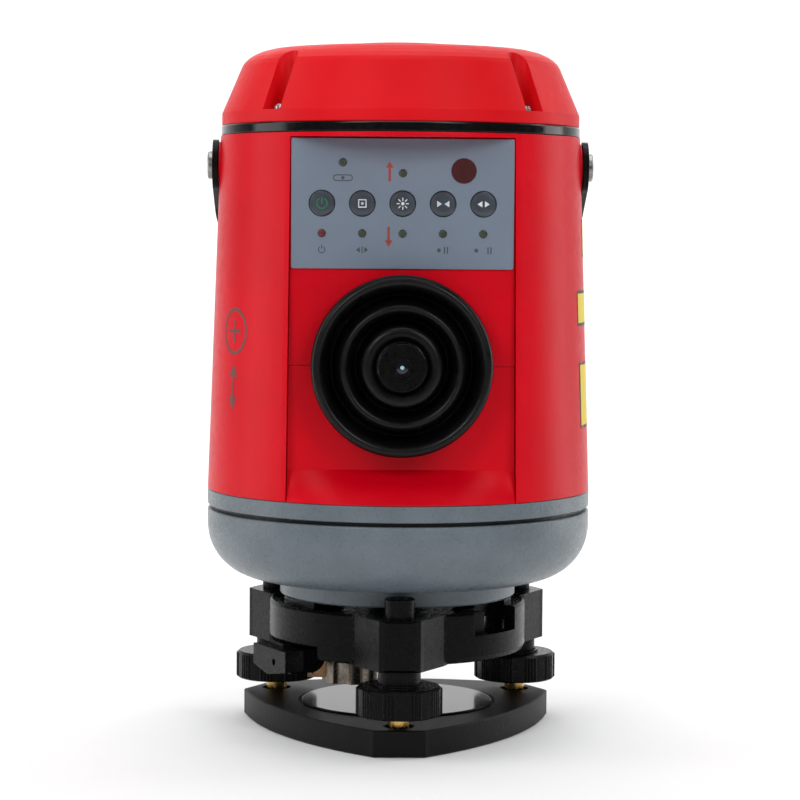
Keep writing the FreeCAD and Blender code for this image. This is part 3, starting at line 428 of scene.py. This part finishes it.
def area_light(name, place, target, size, power):
    data = bpy.data.lights.new(name, "AREA")
    data.shape = "RECTANGLE"
    data.size, data.size_y = size
    data.energy = power
    light = bpy.data.objects.new(name, data)
    bpy.context.scene.collection.objects.link(light)
    light.location = place
    light.rotation_euler = (Vector(target) - Vector(place)).to_track_quat("-Z", "Y").to_euler()


SWEEP_HALF = 4.0
SWEEP_FRONT = -3.0
SWEEP_BACK = 1.1
SWEEP_CURVE = 0.6
SWEEP_TOP = 2.4
SWEEP_STEPS = 12
FLOOR_DROP = 0.0002

WORLD_STRENGTH = 0.1
MIDDLE = (0.0, 0.0, 0.16)
LIGHTS = (
    ("side_left", (-1.0, 0.0, 0.45), MIDDLE, (0.5, 1.1), 3.8),
    ("side_right", (0.95, 0.35, 0.45), MIDDLE, (0.4, 1.1), 3.6),
    ("front_left", (-0.75, -1.25, 0.95), MIDDLE, (0.5, 0.7), 8.2),
    ("front_right", (0.75, -1.25, 0.95), MIDDLE, (0.5, 0.7), 8.2),
    ("top", (0.0, -0.15, 1.35), MIDDLE, (0.9, 0.7), 5.6),
    ("backdrop", (0.0, 0.55, 1.5), (0.0, 1.7, 0.35), (2.2, 0.4), 26.0),
)


def sweep_line():
    """Side view of the studio sweep: flat floor, quarter curve, upright wall."""
    line = [(SWEEP_FRONT, 0.0), (SWEEP_BACK, 0.0)]
    for step in range(1, SWEEP_STEPS + 1):
        angle = math.pi / 2 * step / SWEEP_STEPS
        line.append((SWEEP_BACK + SWEEP_CURVE * math.sin(angle), SWEEP_CURVE * (1 - math.cos(angle))))
    line.append((SWEEP_BACK + SWEEP_CURVE, SWEEP_TOP))
    return line


def make_floor():
    verts = []
    faces = []
    for y, z in sweep_line():
        verts += [(-SWEEP_HALF, y, z), (SWEEP_HALF, y, z)]
    for index in range(0, len(verts) - 2, 2):
        faces.append((index, index + 1, index + 3, index + 2))
    mesh = bpy.data.meshes.new("floor")
    mesh.from_pydata(verts, [], faces)
    for polygon in mesh.polygons:
        polygon.use_smooth = True
    floor = bpy.data.objects.new("floor", mesh)
    floor.location.z = -FLOOR_DROP
    mesh.materials.append(plain_material("floor_white", (0.9, 0.9, 0.9), 0.8))
    bpy.context.scene.collection.objects.link(floor)


def make_stage():
    make_floor()
    bpy.context.scene.view_settings.view_transform = "Standard"
    world = bpy.data.worlds.new("studio")
    world.use_nodes = True
    background = world.node_tree.nodes["Background"]
    background.inputs["Color"].default_value = (1.0, 1.0, 1.0, 1.0)
    background.inputs["Strength"].default_value = WORLD_STRENGTH
    bpy.context.scene.world = world
    for name, place, target, size, power in LIGHTS:
        area_light(name, place, target, size, power)


FOCAL_MM = 120.2
DISTANCE = 1.156
EYE_LEVEL = 0.2196
TURN = math.radians(-1.0)
SIDE_STEP = 0.00055
PITCH = math.radians(3.82)
ROLL = math.radians(0.42)


def make_camera():
    data = bpy.data.cameras.new("camera")
    data.lens = FOCAL_MM
    data.sensor_width = 36.0
    camera = bpy.data.objects.new("camera", data)
    bpy.context.scene.collection.objects.link(camera)
    around = Matrix.Rotation(TURN, 4, "Z")
    place = Matrix.Translation((SIDE_STEP, -DISTANCE, EYE_LEVEL))
    aim = Matrix.Rotation(math.pi / 2 - PITCH, 4, "X") @ Matrix.Rotation(ROLL, 4, "Z")
    camera.matrix_world = around @ place @ aim
    bpy.context.scene.camera = camera


# ---------- mesh helpers ----------

def piece(name, mesh, material, body):
    """Link a finished mesh, give it its material, and let it ride on a body."""
    obj = bpy.data.objects.new(name, mesh)
    bpy.context.scene.collection.objects.link(obj)
    mesh.materials.clear()
    mesh.materials.append(material)
    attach(obj, body)
    return obj


def smooth(mesh, angle=35.0):
    for polygon in mesh.polygons:
        polygon.use_smooth = True
    mesh.set_sharp_from_angle(angle=math.radians(angle))


def mesh_from(name, build):
    """A mesh made by build(bm)."""
    mesh = bpy.data.meshes.new(name)
    bm = bmesh.new()
    build(bm)
    bmesh.ops.recalc_face_normals(bm, faces=bm.faces)
    bm.to_mesh(mesh)
    bm.free()
    return mesh


# ---------- bellows boot, one rubber moulding ----------

BOOT_STEPS = 96
# Rounded section of the boot: (radius, distance in front of the housing's flat face), in mm,
# from the rim at the face over each fold to the collar round the eyepiece.
BOOT_SECTION = (
    (37.3, 0.0), (37.3, 10.9), (36.6, 13.0), (35.0, 14.0), (33.3, 13.4), (31.8, 11.0), (31.0, 6.0),
    (30.2, -0.5), (29.0, -2.6), (27.8, -0.5), (27.0, 5.0), (26.4, 9.8), (25.2, 12.3), (23.8, 13.0),
    (22.4, 12.3), (21.3, 9.8), (20.8, 5.0), (20.2, -0.5), (19.0, -2.6), (17.8, -0.5), (17.1, 5.6),
    (16.9, 10.6), (16.3, 12.7), (15.0, 13.6), (13.2, 13.7), (11.8, 13.4), (11.0, 12.3), (10.8, 5.0),
)
BOOT_WALL = 1.6
BOOT_DRAW = 0.1
BOOT_RIM_POINTS = 8
BOOT_SEAT = (33.0, 0.0)


def smooth_line(points, rounds):
    """Points of an open line after corner cutting, with the ends kept."""
    for _ in range(rounds):
        cut = [points[0]]
        for first, second in zip(points, points[1:]):
            cut.append(tuple(a * 0.75 + b * 0.25 for a, b in zip(first, second)))
            cut.append(tuple(a * 0.25 + b * 0.75 for a, b in zip(first, second)))
        cut.append(points[-1])
        points = cut
    return points


def turned_rings(bm, section, steps):
    """Closed skin turned about the eyepiece axis from (radius, distance in front of the housing's face)."""
    rings = []
    for radius, depth in section:
        ring = []
        for step in range(steps):
            angle = math.tau * step / steps
            x = EYE.x + radius * MM * math.cos(angle)
            z = EYE.z + radius * MM * math.sin(angle)
            ring.append(bm.verts.new((x, EYE_FACE - depth * MM, z)))
        rings.append(ring)
    for first, second in zip(rings, rings[1:] + rings[:1]):
        for step in range(steps):
            after = (step + 1) % steps
            bm.faces.new((first[step], first[after], second[after], second[step]))


def make_boot():
    outer = smooth_line(list(BOOT_SECTION), 2)
    inner = [(radius - BOOT_DRAW, depth - BOOT_WALL) for radius, depth in reversed(outer[BOOT_RIM_POINTS:])]
    section = outer + inner + [BOOT_SEAT]

    def build(bm):
        turned_rings(bm, section, BOOT_STEPS)

    mesh = mesh_from("bellows", build)
    smooth(mesh, 60.0)
    obj = bpy.data.objects.new("bellows", mesh)
    bpy.context.scene.collection.objects.link(obj)
    mesh.materials.append(MATERIALS["rubber"])
    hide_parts("bellows_boot", "boot_collar")
    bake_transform(obj)


# ---------- eyepiece ----------

# Sections as (radius, distance in front of the housing's flat face), in mm.
STOP_RINGS = ((4.58, 17.2), (4.58, 18.7), (3.95, 18.7), (3.8, 18.1), (3.3, 18.1), (3.1, 17.4),
              (2.7, 17.4), (2.7, 17.2))
# A thin pale disc in the middle of the lens: a painted glint of light.
LIGHT_SPOT = ((0.82, 16.72), (0.8, 16.86), (0.02, 16.9), (0.02, 16.72))
SLEEVE_COVER = ((10.75, 5.0), (10.75, 8.6), (9.95, 8.6), (9.95, 8.2), (10.45, 8.2), (10.45, 5.0))


def turned_front(name, section, steps, material, body):
    def build(bm):
        turned_rings(bm, section, steps)

    mesh = mesh_from(name, build)
    smooth(mesh, 40.0)
    return piece(name, mesh, MATERIALS[material], body)


def make_eyepiece_details():
    """Stepped stop rings before the lens, a painted glint of light on it, and the cover of the gimbal's
    sleeve.
    """
    turned_front("eyepiece_stops", STOP_RINGS, 64, "black_turned", "eyepiece")
    turned_front("eyepiece_painted_glint", LIGHT_SPOT, 32, "lens_painted_glint", "eyepiece")
    turned_front("sleeve_cover", SLEEVE_COVER, 96, "rubber", "gimbal")


# ---------- printed marks ----------

PRINT_LIFT = 0.04 * MM
PRINT_SINK = 0.02 * MM
KEY_PRINT_LIFT = 0.03 * MM
KEY_PRINT_DEPTH = 0.2 * MM
STROKE = 0.45
BATTERY_ROW = 237.3
SYMBOL_ROW = 208.0
ARROW_SHAPE = (8.1, 2.6, 3.2, 1.0)


def print_piece(name, polygons, front, back, material, body):
    """Thin print facing the user: polygons of (x, z) corners in mm, between front and back, Y in metres."""
    def build(bm):
        for polygon in polygons:
            near = [bm.verts.new((x * MM, front, z * MM)) for x, z in polygon]
            far = [bm.verts.new((x * MM, back, z * MM)) for x, z in polygon]
            bm.faces.new(near)
            bm.faces.new(far[::-1])
            for index in range(len(near)):
                after = (index + 1) % len(near)
                bm.faces.new((near[index], far[index], far[after], near[after]))

    return piece(name, mesh_from(name, build), MATERIALS[material], body)


def bar(x, z, width, height):
    return [(x - width / 2, z - height / 2), (x + width / 2, z - height / 2),
            (x + width / 2, z + height / 2), (x - width / 2, z + height / 2)]


def ring_strip(x, z, outer, inner, start=0.0, end=360.0, steps=32):
    """Short four-cornered pieces that make up a ring or part of one."""
    strips = []
    for step in range(steps):
        first = math.radians(start + (end - start) * step / steps)
        second = math.radians(start + (end - start) * (step + 1) / steps)
        strips.append([(x + inner * math.cos(first), z + inner * math.sin(first)),
                       (x + outer * math.cos(first), z + outer * math.sin(first)),
                       (x + outer * math.cos(second), z + outer * math.sin(second)),
                       (x + inner * math.cos(second), z + inner * math.sin(second))])
    return strips


def disc(x, z, radius):
    steps = 24
    return [(x + radius * math.cos(math.tau * step / steps), z + radius * math.sin(math.tau * step / steps))
            for step in range(steps)]


def arrow(x, z, length, head, width, shaft, way):
    """Upright arrow centred on x, z; way is 1 for up and -1 for down."""
    tip = z + way * length / 2
    neck = tip - way * head
    tail = z - way * length / 2
    return [[(x - width / 2, neck), (x + width / 2, neck), (x, tip)],
            [(x - shaft / 2, tail), (x + shaft / 2, tail), (x + shaft / 2, neck), (x - shaft / 2, neck)]]


def wedge(x, z, length, height, way):
    """Triangle pointing sideways; way is 1 for the user's right."""
    base = x - way * length / 2
    return [(base, z - height / 2), (base, z + height / 2), (x + way * length / 2, z)]


def make_panel_prints():
    """Arrows as on the object; plain pictograms stand where it has words."""
    front = PANEL_LOW.y - PRINT_LIFT
    back = PANEL_LOW.y + PRINT_SINK
    arrows = arrow(-5.4, 240.0, *ARROW_SHAPE, 1) + arrow(-5.7, 213.4, *ARROW_SHAPE, -1)
    print_piece("print_arrows", arrows, front, back, "print_red", "head")
    row = BATTERY_ROW
    marks = ring_strip(-27.2, row, 1.35, 0.95, 90, 270, 12) + ring_strip(-21.8, row, 1.35, 0.95, -90, 90, 12)
    marks += [bar(-24.5, 238.45, 5.4, 0.4), bar(-24.5, 236.15, 5.4, 0.4), disc(-24.5, row, 0.7)]
    row = SYMBOL_ROW
    marks += ring_strip(-33.0, row, 1.5, 1.1, 125, 415, 24) + [bar(-33.0, row + 1.2, STROKE, 1.6)]
    marks += [wedge(-18.2, row, 1.6, 2.4, -1), wedge(-14.8, row, 1.6, 2.4, 1), bar(-16.5, row, STROKE, 2.8)]
    marks += [disc(14.9, row, 0.8), bar(17.2, row, 0.5, 2.8), bar(18.4, row, 0.5, 2.8)]
    marks += [disc(30.2, row, 0.8), bar(35.0, row, 0.5, 2.8), bar(36.2, row, 0.5, 2.8)]
    print_piece("print_marks", marks, front, back, "print_dark", "head")


def make_key_prints():
    top = KEYS["key_set"].z / MM
    places = {name: place.x / MM for name, place in KEYS.items()}
    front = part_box("key_set")[0].y - KEY_PRINT_LIFT
    back = front + KEY_PRINT_DEPTH

    def mark(key, body, polygons, material):
        print_piece("print_" + key, polygons, front, back, material, body)

    x = places["key_power"]
    power = ring_strip(x, top, 2.3, 1.9, 118, 422) + [bar(x, top + 1.1, STROKE, 2.6)]
    mark("key_power", "power_button", power, "print_green")
    x = places["key_set"]
    square = [bar(x, top + 1.5, 3.4, 0.42), bar(x, top - 1.5, 3.4, 0.42), bar(x - 1.5, top, 0.42, 2.5),
              bar(x + 1.5, top, 0.42, 2.5), disc(x, top, 0.55)]
    mark("key_set", "set_button", square, "print_white")
    x = places["key_laser"]
    rays = [disc(x, top, 0.7)]
    for step in range(8):
        angle = math.tau * step / 8
        along = (math.cos(angle), math.sin(angle))
        across = (-along[1] * 0.2, along[0] * 0.2)
        rays.append([(x + along[0] * reach + side * across[0], top + along[1] * reach + side * across[1])
                     for reach, side in ((1.25, -1), (2.5, -1), (2.5, 1), (1.25, 1))])
    mark("key_laser", "laser_button", rays, "print_white")
    x = places["key_near"]
    mark("key_near", "near_button", [wedge(x - 1.5, top, 2.0, 2.6, 1), wedge(x + 1.5, top, 2.0, 2.6, -1)],
         "print_white")
    x = places["key_far"]
    mark("key_far", "far_button", [wedge(x - 1.5, top, 2.0, 2.6, -1), wedge(x + 1.5, top, 2.0, 2.6, 1)],
         "print_white")


SHELL_TOP_RADIUS = 77.2
PATCH_STEPS = 6
PATCH_BASE = 0.005
BORDER_LIFT = 0.08
FACE_LIFT = 0.12


def on_shell(angle, z, lift):
    """Point on the tapered housing: degrees from the front to the user's right, height and lift in mm."""
    low = SHELL_LOW.z / MM
    high = SHELL_HIGH.z / MM
    share = (z - low) / (high - low)
    radius = SHELL_HIGH.x / MM * (1 - share) + SHELL_TOP_RADIUS * share + lift
    turn = math.radians(angle)
    return radius * math.sin(turn) * MM, -radius * math.cos(turn) * MM, z * MM


def shell_print(name, patches, lift, material):
    """Thin print round the housing; each patch is four (angle, z) corners in order."""
    def build(bm):
        for corners in patches:
            grid = []
            for across in range(PATCH_STEPS + 1):
                share = across / PATCH_STEPS
                column = []
                for first, second in ((corners[0], corners[1]), (corners[3], corners[2])):
                    angle = first[0] + (second[0] - first[0]) * share
                    z = first[1] + (second[1] - first[1]) * share
                    column.append(bm.verts.new(on_shell(angle, z, lift)))
                    column.append(bm.verts.new(on_shell(angle, z, PATCH_BASE)))
                grid.append(column)
            for left, right in zip(grid, grid[1:]):
                for a, b in ((0, 2), (2, 3), (3, 1), (1, 0)):
                    bm.faces.new((left[a], right[a], right[b], left[b]))
            for end in (grid[0], grid[-1]):
                bm.faces.new((end[0], end[2], end[3], end[1]))

    mesh = mesh_from(name, build)
    return piece(name, mesh, MATERIALS[material], "head")


def patch(start, end, low, high):
    return ((start, low), (end, low), (end, high), (start, high))


LABELS = {"upper": (69.5, 95.0, 176.0, 191.0), "lower": (70.5, 108.0, 132.5, 160.7),
          "small": (80.0, 92.0, 205.0, 221.0)}


def make_labels():
    """Plain yellow labels with a dark border, without any words."""
    for name, (start, end, low, high) in LABELS.items():
        shell_print("label_border_" + name, [patch(start, end, low, high)], BORDER_LIFT, "label_black")
        face = [patch(start + 0.9, end - 0.9, low + 1.3, high - 1.3)]
        shell_print("label_face_" + name, face, FACE_LIFT, "label_yellow")


MARK_ANGLE = 60.0
MARK_HEIGHT = 173.5
MARK_RADIUS = 80.0
MARK_RING = (8.4, 9.8)
MARK_STEPS = 40
MARK_LIFT = 0.05
# Straight strokes of the mark as (start, end, low, high), in mm from its middle line and in height.
MARK_STROKES = ((-5, 5, 172.9, 174.1), (-0.6, 0.6, 168.5, 172.9), (-0.6, 0.6, 174.1, 178.5),
                (-0.6, 0.6, 146.0, 154.5))
ARROW_TIPS = ((160.0, 154.5), (140.5, 146.0))
ARROW_HALF = 3.2
TIP_HALF_DEGREES = 0.05


def make_side_mark():
    """A cross-hair ring over a double arrow, in place of the maker's lettering."""
    patches = []
    per_mm = math.degrees(1 / MARK_RADIUS)
    inner, outer = MARK_RING
    for step in range(MARK_STEPS):
        first = math.tau * step / MARK_STEPS
        second = math.tau * (step + 1) / MARK_STEPS
        corners = []
        for radius, turn in ((inner, first), (outer, first), (outer, second), (inner, second)):
            across = MARK_ANGLE + radius * math.cos(turn) * per_mm
            corners.append((-across, MARK_HEIGHT + radius * math.sin(turn)))
        patches.append(tuple(corners))
    for start, end, low, high in MARK_STROKES:
        patches.append(patch(-(MARK_ANGLE + end * per_mm), -(MARK_ANGLE + start * per_mm), low, high))
    side = ARROW_HALF * per_mm
    for tip, neck in ARROW_TIPS:
        base = ((-MARK_ANGLE - side, neck), (-MARK_ANGLE + side, neck))
        point = ((-MARK_ANGLE + TIP_HALF_DEGREES, tip), (-MARK_ANGLE - TIP_HALF_DEGREES, tip))
        patches.append(base + point)
    shell_print("side_mark", patches, MARK_LIFT, "print_brown")


make_stage()
make_camera()
dress_frame()
make_boot()
make_eyepiece_details()
make_panel_prints()
make_key_prints()
make_labels()
make_side_mark()
